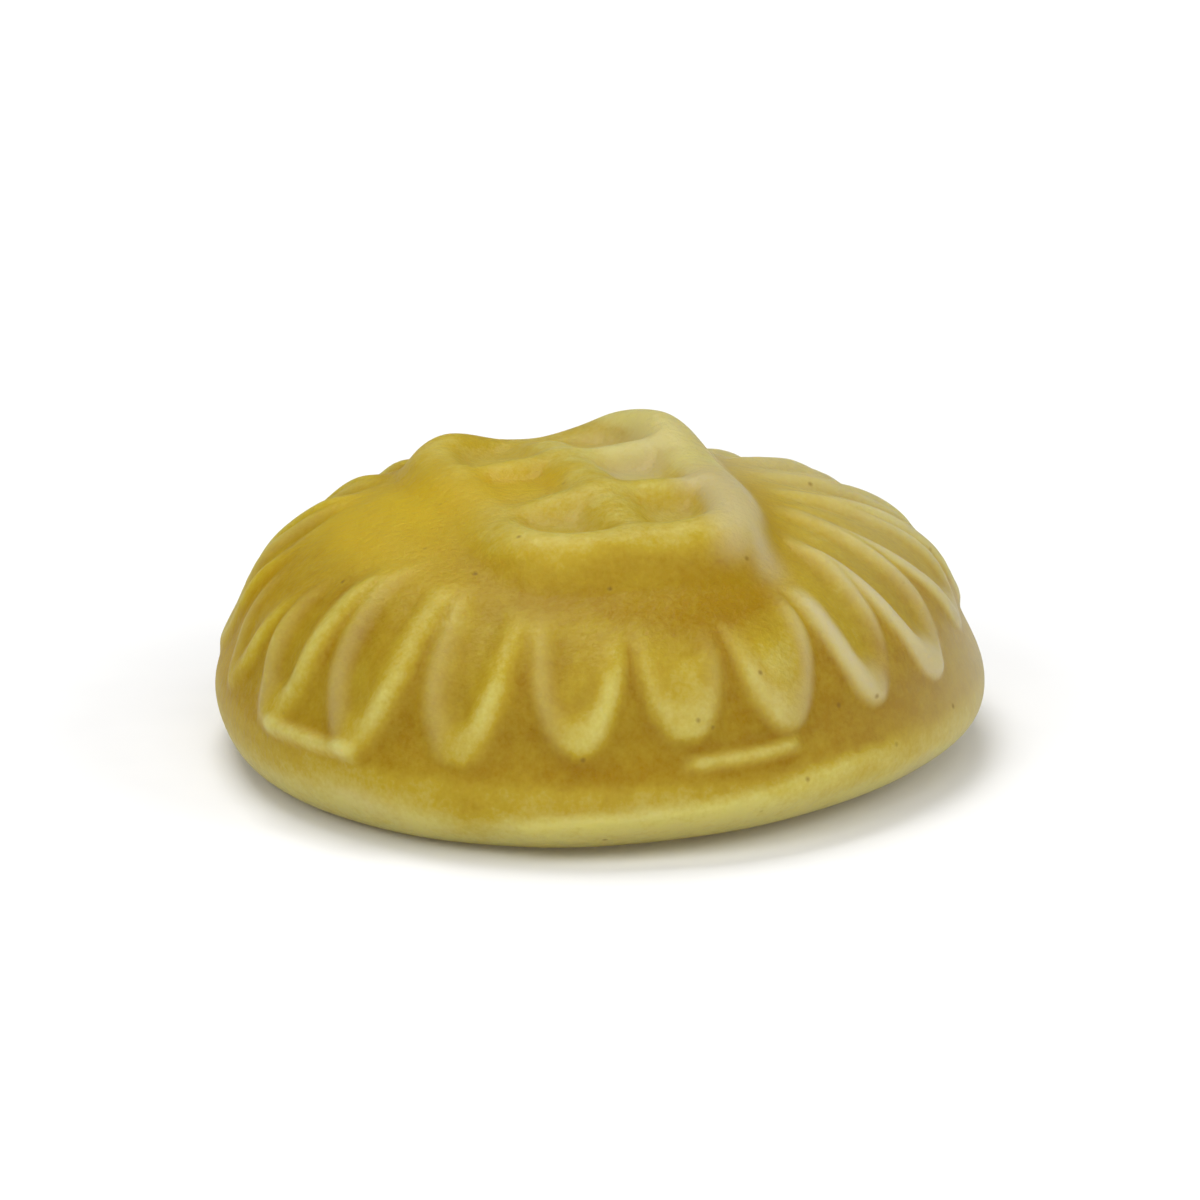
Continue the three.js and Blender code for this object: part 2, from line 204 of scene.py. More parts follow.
# How the mesh is cut and softened, and the least values that keep divisions sound
CUBE_CUTS = 127
DOME_SHARE = math.radians(110)
DOME_STEPS = 600
DOME_SOFTENING = 4
CROWN_SOFTENING = 9
SOFTEN_ABOVE = RIM_HEIGHT + 0.5
SOFTEN_PAST_FRAME = 0.6
LEAST_HALF = 0.01
LEAST_REACH = 0.001
LEAST_STEEP = 0.3
LEAST_SHARE = 0.05

# Ways round the piece, for facing(): an azimuth in degrees, and how sharply it fades
FRONT_RIGHT = (24, 16)
PADS = (20, 24)
LEFT_OF_CENTRE = (-25, 8)
LEFT_FRONT = (-55, 10)
UPPER_LEFT = (-50, 8)
LEFT_SHOULDER = (-75, 3)
LEFT_SIDE = (-85, 8)
LEFT_GLOW = (-90, 6)
LEFT_OUTLINE = (-93, 40)
# Where painted whitish sheen lies with the dust, on the edges and on the right side
DUST_AND_SHEEN_EDGES = (62, 8)
RIGHT_SIDE = (85, 3)
DUST_AND_SHEEN_SIDE = (92, 7)
RIGHT_OUTLINE = (92, 40)
FAR_RIGHT = (115, 3)
BEHIND_RIGHT = (145, 5)
BEHIND_OUTLINE = (148, 30)
RIM_LEFT = (-35, 36)
RIM_BREAK = (-18, 250)
RIM_FAR_LEFT = (-68, 14)

# Waves round the piece, for ripple(): how many, and their phase
SIDED_WAVES = (3, 0.4)
RIDGE_WAVES = (7, 1.0)
HOLLOW_WAVES = (5, 2.0)
DISH_WAVES = (9, 0.9)
EDGE_TONE_WAVES = (6, 0.5)
EDGE_BREAK_WAVES = (17, 0.8)
RIM_TONE_WAVES = (2, 0.3)

# Slanting waves: how fast they climb the side and how many go round, and the knots that
# break up those of the ridges
RIDGE_SLANT = (0.9, 9)
RIDGE_KNOTS, RIDGE_KNOTS_TURN = 13, 1.7
EDGE_BREAK_SLANT = (2.1, 5)

# Stretches, for rise(): where each starts and over how much it grows, in millimetres
TIP_STRETCH = (2, 1.5)
BEHIND_STRETCH = (2, 1)
SHINE_FADES = (3.5, 2.5)
BAND_STARTS, BAND_ENDS = (0.25, 0.5), (3.2, 1.6)
UPPER_STARTS, UPPER_ENDS = (2.2, 1.5), (5.0, 2)
PAD_TOP = (2.2, 1.2)
HIGH_UP = (2.5, 2.5)
OUTER_DOME = (5.0, 3.0)
SHOULDER_STARTS, SHOULDER_ENDS = (0, 3), (5, 3)
ONTO_BAR = (0.05, 0.5)
HIGH_SIDE, FAR_HALF = (-0.5, 2), (-1, 2)
RIGHT_BAR, PAST_CORNER = (1.4, 1.2), (-1.5, 3)
FRAME_LEFT = (0.8, 2)
CROWN_TOP, SHOULDER_TOP = (5.6, 1.0), (5.2, 1.0)


def clamp01(x):
    return np.clip(x, 0.0, 1.0)


def smooth(x):
    return clamp01(x) ** 2 * (3 - 2 * clamp01(x))


def rise(value, start, over):
    """Grows from 0 to 1 as a value passes the start"""
    return smooth((value - start) / over)


def soft_max(a, b, reach):
    """The larger of two heights, blended where they differ by less than the reach"""
    near = np.maximum(reach - np.abs(a - b), 0) / reach
    return np.maximum(a, b) + near**2 * reach / 4


def differs(index, trait):
    """An even spread of values from -1 to 1 for each tongue and each trait"""
    return np.sin(GOLDEN_ANGLE * index + trait)


def ripple(azimuth, times, phase):
    """An uneven wave from -1 to 1 round the piece"""
    return (np.sin(times * azimuth + phase) + np.sin((times + 4) * azimuth + 2 * phase)) / 2


def slant(azimuth, length, climb, times):
    """A wave from -1 to 1 that climbs the side as it goes round"""
    return np.sin(climb * length + times * azimuth)


def azimuth_of(x, y):
    return np.arctan2(x, -y)


def facing(azimuth, towards, sharp):
    """A share from 0 to 1 of how closely an azimuth faces a way, in degrees"""
    return np.maximum(np.cos(azimuth - math.radians(towards)), 0) ** sharp


def shorter_at(azimuth):
    """How much shorter the tongues are at an azimuth"""
    groups = TONGUE_GROUPS
    return sum(g["shorter"] * facing(azimuth, g["azimuth"], g["sharp"]) for g in groups)


def dome_profile():
    """Radius and height of the dome's side from the rim to the crown, and the length"""
    angle = np.linspace(0, math.pi / 2, DOME_STEPS)
    z = RIM_HEIGHT + (CROWN_HEIGHT - RIM_HEIGHT) * np.sin(angle) ** (2 / DOME_POWER)
    r = (RADIUS - RIM_SWELL) * clamp01(np.cos(angle)) ** (2 / DOME_POWER)
    r += RIM_SWELL * (1 - smooth((z - RIM_HEIGHT) / RIM_SWELL_REACH))
    r[-1] = 0
    length = np.concatenate([[0], np.cumsum(np.hypot(np.diff(r), np.diff(z)))])
    return r, z, length


DOME_R, DOME_Z, DOME_LENGTH = dome_profile()
DOME_END = DOME_LENGTH[-1]


def dome_at(length):
    """Radius, height and outward normal at a length above the rim"""
    r = np.interp(length, DOME_LENGTH, DOME_R)
    z = np.interp(length, DOME_LENGTH, DOME_Z)
    slope_r = np.interp(length, DOME_LENGTH, np.gradient(DOME_R, DOME_LENGTH))
    slope_z = np.interp(length, DOME_LENGTH, np.gradient(DOME_Z, DOME_LENGTH))
    size = np.hypot(slope_r, slope_z)
    return r, z, slope_z / size, -slope_r / size


def tongue_end(azimuth, tongue):
    """The length at which a tongue ends"""
    end = TONGUE_END + TONGUE_END_RISE * np.sin(azimuth) + END_DIFFERS * differs(tongue, END_TRAIT)
    for turn, higher in TIP_SHIFTS:
        end = end + higher * facing(azimuth, turn, TIP_SHARP)
    return end


def inside_tongue(across, short, half):
    """How far inside a tongue's outline a place is, from how far it lies across the tongue
    and down its tip"""
    p = TONGUE_TIP_POWER
    reach = np.maximum((across**p + short**p) ** (1 / p), LEAST_REACH)
    steep_across = (across / reach) ** (p - 1)
    steep_along = (short / reach) ** (p - 1) * half / TONGUE_TIP_LENGTH
    return (half - reach) / np.maximum(np.hypot(steep_across, steep_along), LEAST_STEEP)


def sunk_edges(azimuth, length):
    """How far the raised edges are sunk, as a share"""
    sunk = SUNK_LEFT * facing(azimuth, *LEFT_OUTLINE) + SUNK_RIGHT * facing(azimuth, *RIGHT_OUTLINE)
    sunk = sunk * (1 - rise(length, *TIP_STRETCH))
    return sunk + SUNK_BEHIND * facing(azimuth, *BEHIND_OUTLINE) * rise(length, *BEHIND_STRETCH)


def tongues(azimuth, length, radius):
    """How far the surface stands out of the dome's side, and shares from 0 to 1 of the
    painted highlight on the tongues' raised edges, of their hollows and of their fainter
    edges. The edges of two neighbours run as one ridge above, and part round a triangle of
    plain dome at the foot. The edge that faces the front is the stronger one of the two, in
    its height and in its painted highlight"""
    turned = (azimuth - TONGUE_TURN) / PITCH
    index = np.round(turned)
    tongue = np.mod(index, TONGUES)
    centre = index + PLACE_DIFFERS * differs(tongue, PLACE_TRAIT)
    across = np.abs(turned - centre) * PITCH * radius
    end = tongue_end(azimuth, tongue)
    half = TONGUE_HALF_WIDTH * (1 + WIDTH_DIFFERS * differs(tongue, WIDTH_TRAIT))
    half = np.maximum(np.minimum(half, PITCH * radius / 2), LEAST_HALF)
    short = np.maximum(1 - (length - end) / TONGUE_TIP_LENGTH, 0) * half
    inside = inside_tongue(across, short, half)

    frontward = np.clip(-RIDGE_SIDED_SWITCH * np.sin(azimuth - RIDGE_SIDED_TURN), -1, 1)
    sided = RIDGE_SIDED_EVEN + (1 - RIDGE_SIDED_EVEN) * ripple(azimuth, *SIDED_WAVES)
    side = np.sin(2 * math.pi * (turned - index)) * frontward * sided
    right = facing(azimuth, *RIGHT_SIDE)
    bulge = RIDGE_BROAD * np.exp(-(((azimuth - RIDGE_BROAD_TURN) / RIDGE_BROAD_REACH) ** 2))
    broad = (1 + RIDGE_SIDED * side + bulge) * (1 - RIDGE_THIN_RIGHT * right)
    side = side * (1 + RIDGE_SIDED_RIGHT * right)

    filled = 1 - rise(length - end, FILLED_TIP, FILLED_TIP_FADE)
    outer = smooth(1 + inside / (RIDGE_OUTER * broad))
    inner = smooth(inside / (RIDGE_INNER * broad)) * (1 - filled)
    fade = rise(radius, TONGUES_FADE_TO, TONGUES_FADE_FROM - TONGUES_FADE_TO)
    knots = np.sin(RIDGE_KNOTS * azimuth + RIDGE_KNOTS_TURN)
    uneven = RIDGE_UNEVEN * slant(azimuth, length, *RIDGE_SLANT) * knots
    strong = 1 + RIDGE_SIDED * side + uneven
    high = np.minimum(strong + RIDGE_WAVE * ripple(azimuth, *RIDGE_WAVES), RIDGE_HIGHEST)
    proud = RIDGE_PROUD * high * outer * (1 - sunk_edges(azimuth, length))
    deep = 1 + HOLLOW_WAVE * ripple(azimuth, *HOLLOW_WAVES) - PAD_FILL * facing(azimuth, *PADS)
    hollow = HOLLOW_DEPTH * deep * inner
    # The walls of the ridges carry a painted highlight, weaker high up the side and stronger on the
    # stronger edge
    wall = (outer - inner) * fade * (1 - SHINE_FADE * rise(length, *SHINE_FADES))
    shine = wall * (strong + SHINE_SIDED * side)
    return (proud - hollow) * fade, shine, inner * fade, wall * clamp01(-side)


def ledges(azimuth, length):
    """A share from 0 to 1 of the thin ledges between tips"""
    found = np.zeros_like(azimuth)
    for start, stop, low, high in LEDGES:
        way = (np.degrees(azimuth) - start) / (stop - start)
        height = low + (high - low) * clamp01(way)
        ends = smooth(way * LEDGE_ENDS) * smooth((1 - way) * LEDGE_ENDS)
        found = np.maximum(found, ends * (1 - smooth(np.abs(length - height) / LEDGE_HALF_WIDTH)))
    return found


def lip(azimuth, along):
    """A share from 0 to 1 of the rounded lip that starts at one azimuth and climbs, at a
    length above the rim, or below it where that is negative"""
    way = (np.degrees(azimuth) - LIP_FROM) / (LIP_TO - LIP_FROM)
    under = LIP_LOW + (LIP_HIGH - LIP_LOW) * clamp01(way) - along
    ends = smooth(way * LIP_STEP) * smooth((1 - way) * LIP_RUN_OUT)
    return ends * smooth(under / LIP_EDGE) * (1 - smooth((under - LIP_EDGE) / LIP_DEPTH))


def unevenness(x, y, z, wavelength, seed):
    """A gentle wave from -1 to 1 through space, the same on each run"""
    spread = np.random.default_rng(seed)
    total = np.zeros_like(x)
    for _ in range(WAVES_MIXED):
        way = spread.normal(size=3)
        way *= 2 * math.pi / (wavelength * spread.uniform(*WAVE_SPREAD)) / np.linalg.norm(way)
        total += np.sin(way[0] * x + way[1] * y + way[2] * z + spread.uniform(*WAVE_STARTS))
    return total / WAVES_PEAK


def bar_top(outside, top, flank):
    """Height of a bar's surface at a distance outside its edge"""
    rounded = clamp01((outside + BAR_EDGE_ROUND) / BAR_EDGE_ROUND)
    return top - BAR_EDGE_DROP * rounded**2 - np.maximum(outside, 0) / flank


def lattice_way(x, y):
    """Places along and beside the lattice's long axis"""
    along = x * math.sin(LATTICE_TURN) - y * math.cos(LATTICE_TURN)
    beside = x * math.cos(LATTICE_TURN) + y * math.sin(LATTICE_TURN)
    return along, beside - LATTICE_BESIDE


def frame_share(x, y):
    """How far out a place is, where 1 is the frame's outer edge, and its distance past
    that edge"""
    along, beside = lattice_way(x, y)
    p = FRAME_POWER
    a, b = np.abs(along) / LATTICE_HALF_LENGTH, np.abs(beside) / LATTICE_HALF_WIDTH
    share = np.maximum((a**p + b**p) ** (1 / p), LEAST_SHARE)
    steep_a = (a / share) ** (p - 1) / LATTICE_HALF_LENGTH
    steep_b = (b / share) ** (p - 1) / LATTICE_HALF_WIDTH
    return share, (share - 1) / np.hypot(steep_a, steep_b)


def lattice_cap(x, y):
    """Height over the plan of the frame's top, with its dips and its rise"""
    along, beside = lattice_way(x, y)
    share = np.minimum(frame_share(x, y)[0], LATTICE_FALL_MOST)
    top = LATTICE_HEIGHT - LATTICE_FALL * share**2 + LATTICE_LEAN * x
    for place in (FAR_DIP, FAR_RISE, LEFT_DIP):
        away = np.hypot(along - place["along"], beside - place["beside"])
        top = top - place["depth"] * (1 - smooth(away / place["reach"]))
    return top


def lattice_height(x, y):
    """Height over the plan of the frame and the bars in it, far below the crown between
    them"""
    along, beside = lattice_way(x, y)
    past_frame = frame_share(x, y)[1]
    top = lattice_cap(x, y)
    flank = np.where(past_frame > -FRAME_WIDTH / 2, FRAME_FLANK, BAR_FLANK)
    frame_bar = bar_top(np.abs(past_frame + FRAME_WIDTH / 2) - FRAME_WIDTH / 2, top, flank)
    within = past_frame + FRAME_WIDTH / 2
    long_bar = np.maximum(np.abs(beside) - LONG_BAR_HALF_WIDTH, within)
    cross_bars = np.abs(np.abs(along) - CROSS_BAR_PITCH / 2) - CROSS_BAR_HALF_WIDTH
    cross_bars = np.maximum(cross_bars, within)
    long_top, cross_top = (bar_top(b, top - BAR_SINK, BAR_FLANK) for b in (long_bar, cross_bars))
    bars = soft_max(long_top, cross_top, BAR_BLEND) - BAR_BLEND_DROP
    return soft_max(frame_bar, bars, BAR_BLEND)


def out_of_round(azimuth):
    oval = OVAL * np.cos(2 * (azimuth - OVAL_TURN))
    three = THREE_SIDED * np.cos(3 * (azimuth - THREE_SIDED_TURN))
    return 1 + oval + three


def edge_round(azimuth):
    turned = (1 + np.cos(azimuth - EDGE_ROUND_TURN)) / 2
    return EDGE_ROUND * (1 + EDGE_ROUND_UNEVEN * turned**4)


def underside(azimuth, below, on_lip):
    """Radius and height from the rim down round the bottom edge, over the foot and up
    into the dish"""
    turn = clamp01(below / EDGE_LENGTH) * math.pi / 2
    edge = edge_round(azimuth)
    flat = RADIUS - edge
    edge_r = RADIUS - edge * (1 - np.cos(turn)) + LIP_PROUD * on_lip
    edge_z = RIM_HEIGHT * (1 - np.sin(turn))
    ring = clamp01((below - EDGE_LENGTH) / FOOT_WIDTH)
    way_in = clamp01((below - FOOT_END) / (DOME_END - FOOT_END))
    r = np.where(below < EDGE_LENGTH, edge_r, flat - FOOT_WIDTH * ring) * (1 - way_in)
    up_wall = (flat - FOOT_WIDTH) * way_in / DISH_WALL
    wave = DISH_WAVE * ripple(azimuth, *DISH_WAVES) * np.sin(math.pi * clamp01(up_wall))
    dish_z = DISH_DEPTH * smooth(up_wall) + np.maximum(wave, DISH_WAVE_LOWEST)
    return r, np.where(below < EDGE_LENGTH, edge_z, dish_z)


# The tone runs from 0, deep gold, to 1, pale, and a plain surface lies halfway. It is
# painted light and shade. These say how much paler each form is painted where light falls
# on it or comes through it, as painted highlights on the edges, ledges, rim and lip, and how
# much deeper where shade falls, as painted shade in the hollows, in a band under the tips,
# at the foot of the frame and on the sides
PLAIN = 0.5
EDGE_PALER, EDGE_WAVE, EDGE_LEFT_OF_CENTRE = 0.17, 0.07, 0.05
EDGE_BROKEN = 0.35
LEDGE_PALER = 0.55
PAD_TOP_DEEPER = 0.1
HOLLOW_DEEPER, PAD_PALER = 0.18, 0.38
BAND_DEEPER, BAND_LEFT = 0.36, 0.1
FOOT_DEEPER, FOOT_FRONT = 0.36, 0.3
FOOT_PLACE, FOOT_REACH, FOOT_FRONT_REACH = 0.6, 1.1, 0.7
UPPER_LEFT_DEEPER = 0.12
FAR_RIGHT_PALER, FAR_RIGHT_EDGES = 0.1, 0.3
BEHIND_PALER = 0.45
LEFT_SIDE_DEEPER = 0.2
UNDERSIDE_PALER, UNDERSIDE_OVER = 0.5, 0.9
RIM_PALER, RIM_LEFT_PALER, LIP_PALER = 0.1, 0.14, 0.32
RIM_BREAK_DEEPER, RIM_FAR_LEFT_DEEPER = 1.6, 1.1
RIM_MIDDLE, RIM_REACH = -0.5, 1.1


def side_tone(azimuth, length, radius, past_frame, relief):
    """Painted light and shade of the dome's side, from the shares of its edge highlights,
    hollows and ledges
    """
    edge_highlight, hollow, ledge = relief
    bare = 1 - edge_highlight
    front = facing(azimuth, *FRONT_RIGHT)
    breaks = ripple(azimuth, *EDGE_BREAK_WAVES) * slant(azimuth, length, *EDGE_BREAK_SLANT)
    edge_tone = EDGE_PALER + EDGE_WAVE * ripple(azimuth, *EDGE_TONE_WAVES)
    edge_tone = edge_tone - EDGE_LEFT_OF_CENTRE * facing(azimuth, *LEFT_OF_CENTRE)
    # Painted highlights on the raised edges and ledges, a little weaker high up at the front right
    tone = PLAIN + edge_tone * (1 + EDGE_BROKEN * breaks) * edge_highlight + LEDGE_PALER * ledge
    tone = tone - PAD_TOP_DEEPER * front * edge_highlight * rise(length, *PAD_TOP)
    # Painted shade in the hollows, with painted light in its place on the pads at the front right
    tone = tone - (HOLLOW_DEEPER - PAD_PALER * front) * rise(radius, *OUTER_DOME) * hollow
    # Painted shade in a band under the tips
    band = rise(length, *BAND_STARTS) * (1 - rise(length, *BAND_ENDS))
    band_deeper = BAND_DEEPER - BAND_LEFT * facing(azimuth, *LEFT_FRONT)
    tone = tone - band_deeper * band * bare * (1 - hollow)
    # Painted shade at the foot of the lattice frame, most at the front right
    from_foot = np.abs(past_frame - FOOT_PLACE - FOOT_FRONT_REACH * front)
    foot = 1 - smooth(from_foot / (FOOT_REACH + FOOT_FRONT_REACH * front))
    tone = tone - (FOOT_DEEPER + FOOT_FRONT * front) * foot * bare
    # Painted shade high on the upper left
    upper = rise(length, *UPPER_STARTS) * (1 - rise(length, *UPPER_ENDS))
    tone = tone - UPPER_LEFT_DEEPER * facing(azimuth, *UPPER_LEFT) * upper * bare
    # Painted light high at the far right and behind, and painted shade on the left side
    high_up = rise(length, *HIGH_UP)
    far_right = facing(azimuth, *FAR_RIGHT) * high_up
    tone = tone + (FAR_RIGHT_PALER + FAR_RIGHT_EDGES * edge_highlight) * far_right
    tone = tone + BEHIND_PALER * facing(azimuth, *BEHIND_RIGHT) * high_up
    return tone - LEFT_SIDE_DEEPER * facing(azimuth, *LEFT_SIDE)


def rim_tone(azimuth, along, on_lip):
    """How much paler the rim and its lip are painted: a painted highlight along the rim, with
    painted shade at a break left of the front and at the far left, and a painted highlight on
    the lip
    """
    rim = 1 - smooth(np.abs(along - RIM_MIDDLE) / RIM_REACH)
    left = facing(azimuth, *RIM_LEFT) - RIM_BREAK_DEEPER * facing(azimuth, *RIM_BREAK)
    left = left - RIM_FAR_LEFT_DEEPER * facing(azimuth, *RIM_FAR_LEFT)
    paler = RIM_PALER * (1 + ripple(azimuth, *RIM_TONE_WAVES)) + RIM_LEFT_PALER * left
    return paler * rim + LIP_PALER * on_lip


# Dust and sheen runs from 0, bare gum, to 1, the starch of the mould. It is partly starch
# dust and partly a painted whitish sheen. It lies on the right side and its shoulder, on the
# edges at the right, and a little on the fainter edges and ledges
FLANK_DUST_AND_SHEEN, FLANK_MIDDLE, FLANK_REACH = 0.65, 0.6, 2.6
SHOULDER_DUST_AND_SHEEN = 0.2
EDGE_DUST_AND_SHEEN, FAINT_EDGE_DUST_AND_SHEEN, LEDGE_DUST_AND_SHEEN = 0.75, 0.45, 0.15
FAR_RIGHT_DUST_AND_SHEEN, FAR_RIGHT_EDGE_DUST_AND_SHEEN = 0.1, 0.4
BEHIND_DUST_AND_SHEEN = 0.4


def starch_dust_and_sheen(azimuth, length, along, up, relief):
    """The starch dust and painted sheen on the dome's side and on the rim, from the shares of
    its edge highlights, fainter edges and ledges"""
    edge_highlight, faint_edge, ledge = relief
    flank = 1 - smooth(np.abs(along - FLANK_MIDDLE) / FLANK_REACH)
    shoulder = rise(length, *SHOULDER_STARTS) * (1 - rise(length, *SHOULDER_ENDS))
    spread = FLANK_DUST_AND_SHEEN * flank + SHOULDER_DUST_AND_SHEEN * np.where(up, shoulder, 0)
    high_up = rise(length, *HIGH_UP)
    far_right = facing(azimuth, *FAR_RIGHT) * high_up
    on_side = EDGE_DUST_AND_SHEEN * facing(azimuth, *DUST_AND_SHEEN_EDGES) * edge_highlight
    on_side = on_side + FAINT_EDGE_DUST_AND_SHEEN * faint_edge + LEDGE_DUST_AND_SHEEN * ledge
    on_side = on_side + (FAR_RIGHT_DUST_AND_SHEEN + FAR_RIGHT_EDGE_DUST_AND_SHEEN * edge_highlight) * far_right
    on_side = on_side + BEHIND_DUST_AND_SHEEN * facing(azimuth, *BEHIND_RIGHT) * high_up
    return facing(azimuth, *DUST_AND_SHEEN_SIDE) * spread + np.where(up, on_side, 0)


def moulded(azimuth, polar):
    """The surface's radius, height, painted tone, and dust and sheen where a ball has this
    azimuth and polar angle"""
    up = polar < DOME_SHARE
    length = DOME_END * (1 - clamp01(polar / DOME_SHARE))
    below = clamp01((polar - DOME_SHARE) / (math.pi - DOME_SHARE)) * DOME_END
    along = np.where(up, length, -below)
    r, z, normal_r, normal_z = dome_at(length)
    past_frame = frame_share(r * np.sin(azimuth), -r * np.cos(azimuth))[1]
    shorter = shorter_at(azimuth)
    clear_over = TONGUES_CLEAR_TO - TONGUES_CLEAR_FROM + SHORTER_CLEARS * np.maximum(shorter, 0)
    clear = rise(past_frame, TONGUES_CLEAR_FROM + shorter, clear_over)
    tongue_parts = [clear * part for part in tongues(azimuth, length, r)]
    proud, edge_highlight, hollow, faint_edge = tongue_parts
    ledge = ledges(azimuth, length)
    on_lip = lip(azimuth, along)
    proud = proud + LEDGE_PROUD * ledge + LIP_PROUD * on_lip
    under_r, under_z = underside(azimuth, below, on_lip)
    tone = side_tone(azimuth, length, r, past_frame, (edge_highlight, hollow, ledge))
    # Painted light on the underside, paler from the rim round the bottom edge
    under_tone = PLAIN + UNDERSIDE_PALER * smooth(below / UNDERSIDE_OVER)
    tone = np.where(up, tone, under_tone) + rim_tone(azimuth, along, on_lip)
    dust_and_sheen = starch_dust_and_sheen(azimuth, length, along, up, (edge_highlight, faint_edge, ledge))
    r = np.where(up, r + normal_r * proud, under_r)
    z = np.where(up, z + normal_z * proud, under_z)
    return r, z, tone, dust_and_sheen


# The crown's looks: the bars' tone from foot to top, painted paler towards their tops where
# light falls, the frame's far side painted pale, its near corner with dust and painted sheen
# and a paler streak with dust and sheen down from it, and the painted glow of light through
# the gum where it is thin
BAR_FOOT_TONE, BAR_TOP_PALER = 0.26, 0.36
BAR_TOP_UNDER, BAR_LEAST = 0.4, 0.3
HIGH_SIDE_PALER = 0.45
CORNER_DUST_AND_SHEEN, PAST_CORNER_CLEANER = 0.75, 0.8
STREAK_X, STREAK_Y, STREAK_LEAN = 4.1, -3.9, 0.35
STREAK_HALF_WIDTH, STREAK_HALF_LENGTH = 0.5, 0.9
STREAK_PALER, STREAK_DUST_AND_SHEEN = 0.3, 0.85
WINDOW_GLOW, WINDOW_PALER = 0.25, 0.2
CROWN_GLOW, SHOULDER_GLOW, LEFT_SIDE_GLOW = 0.4, 0.8, 0.3
FRAME_LEFT_GLOW, FRAME_LEFT_PALER = 0.2, 0.15


def crown_looks(x, y, z, tone, dust_and_sheen, lift, crown):
    """The painted tone and the dust and sheen with the lattice's own over them, and the
    painted glow, from how far the lattice lifts the surface"""
    on_bar = np.where(crown, rise(lift, *ONTO_BAR), 0)
    between = 1 - on_bar
    height_share = clamp01(lift / np.maximum(LATTICE_HEIGHT - BAR_TOP_UNDER - z, BAR_LEAST))
    beside = lattice_way(x, y)[1]
    high_side = HIGH_SIDE_PALER * rise(beside, *HIGH_SIDE) * rise(y, *FAR_HALF)
    right_side = rise(beside, *RIGHT_BAR) * (1 - PAST_CORNER_CLEANER * rise(y, *PAST_CORNER))
    dust_and_sheen = np.maximum(dust_and_sheen, CORNER_DUST_AND_SHEEN * on_bar * right_side * np.sqrt(height_share))
    # Painted light: the bars paler towards their tops, and paler still on the frame's far side
    bar_tone = BAR_FOOT_TONE + (BAR_TOP_PALER + high_side) * height_share**2
    tone = tone * between + bar_tone * on_bar

    down_streak = y - STREAK_Y
    off_streak = (x - STREAK_X + STREAK_LEAN * down_streak) / STREAK_HALF_WIDTH
    streak = np.exp(-(off_streak**2) - (down_streak / STREAK_HALF_LENGTH) ** 2) * crown
    tone = tone + STREAK_PALER * streak
    dust_and_sheen = np.maximum(dust_and_sheen, STREAK_DUST_AND_SHEEN * streak)

    window = between * smooth(-frame_share(x, y)[1])
    frame_left = rise(-beside, *FRAME_LEFT) * on_bar
    # Painted light in the windows and on the frame's left side
    tone = tone + WINDOW_PALER * window * crown + FRAME_LEFT_PALER * frame_left
    left_shoulder = facing(azimuth_of(x, y), *LEFT_SHOULDER) * rise(z, *SHOULDER_TOP)
    painted_glow = np.maximum(WINDOW_GLOW * window, CROWN_GLOW * rise(z, *CROWN_TOP) * between)
    painted_glow = np.maximum(painted_glow, FRAME_LEFT_GLOW * frame_left)
    painted_glow = np.maximum(painted_glow, SHOULDER_GLOW * left_shoulder * between)
    return tone, dust_and_sheen, painted_glow * smooth((LATTICE_REACH - np.hypot(x, y)) / LATTICE_REACH_FADE)


# Patches of dust and painted sheen on what is painted pale: how far apart they lie and the
# seed of their random draws, where their wave counts, and from what tone
PATCH_DUST_AND_SHEEN = 0.5
PATCH_WAVES = (5.0, 8)
PATCH_FROM = 0.35
PALE_ENOUGH = (0.55, 0.3)


def round_blank():
    """A cube cut into small squares, as unit directions that cover a ball evenly"""
    blank = bmesh.new()
    bmesh.ops.create_cube(blank, size=2)
    bmesh.ops.subdivide_edges(blank, edges=blank.edges[:], cuts=CUBE_CUTS, use_grid_fill=True)
    mesh = bpy.data.meshes.new("pastille_gum")
    blank.to_mesh(mesh)
    blank.free()
    places = np.empty(len(mesh.vertices) * 3)
    mesh.vertices.foreach_get("co", places)
    warped = np.tan(places.reshape(-1, 3) * math.pi / 4)
    return mesh, warped / np.linalg.norm(warped, axis=1)[:, None]


def soften(mesh, stretches):
    """Rounds the relief off and turns the mesh to metres. Each stretch says which points
    are softened, and how many times"""
    soft = bmesh.new()
    soft.from_mesh(mesh)
    every_way = {"use_axis_x": True, "use_axis_y": True, "use_axis_z": True}
    for where, times in stretches:
        chosen = [v for v, wanted in zip(soft.verts, where) if wanted]
        for _ in range(times):
            bmesh.ops.smooth_vert(soft, verts=chosen, factor=0.5, **every_way)
    bmesh.ops.scale(soft, vec=(MM, MM, MM), verts=soft.verts[:])
    soft.to_mesh(mesh)
    soft.free()
    mesh.shade_smooth()


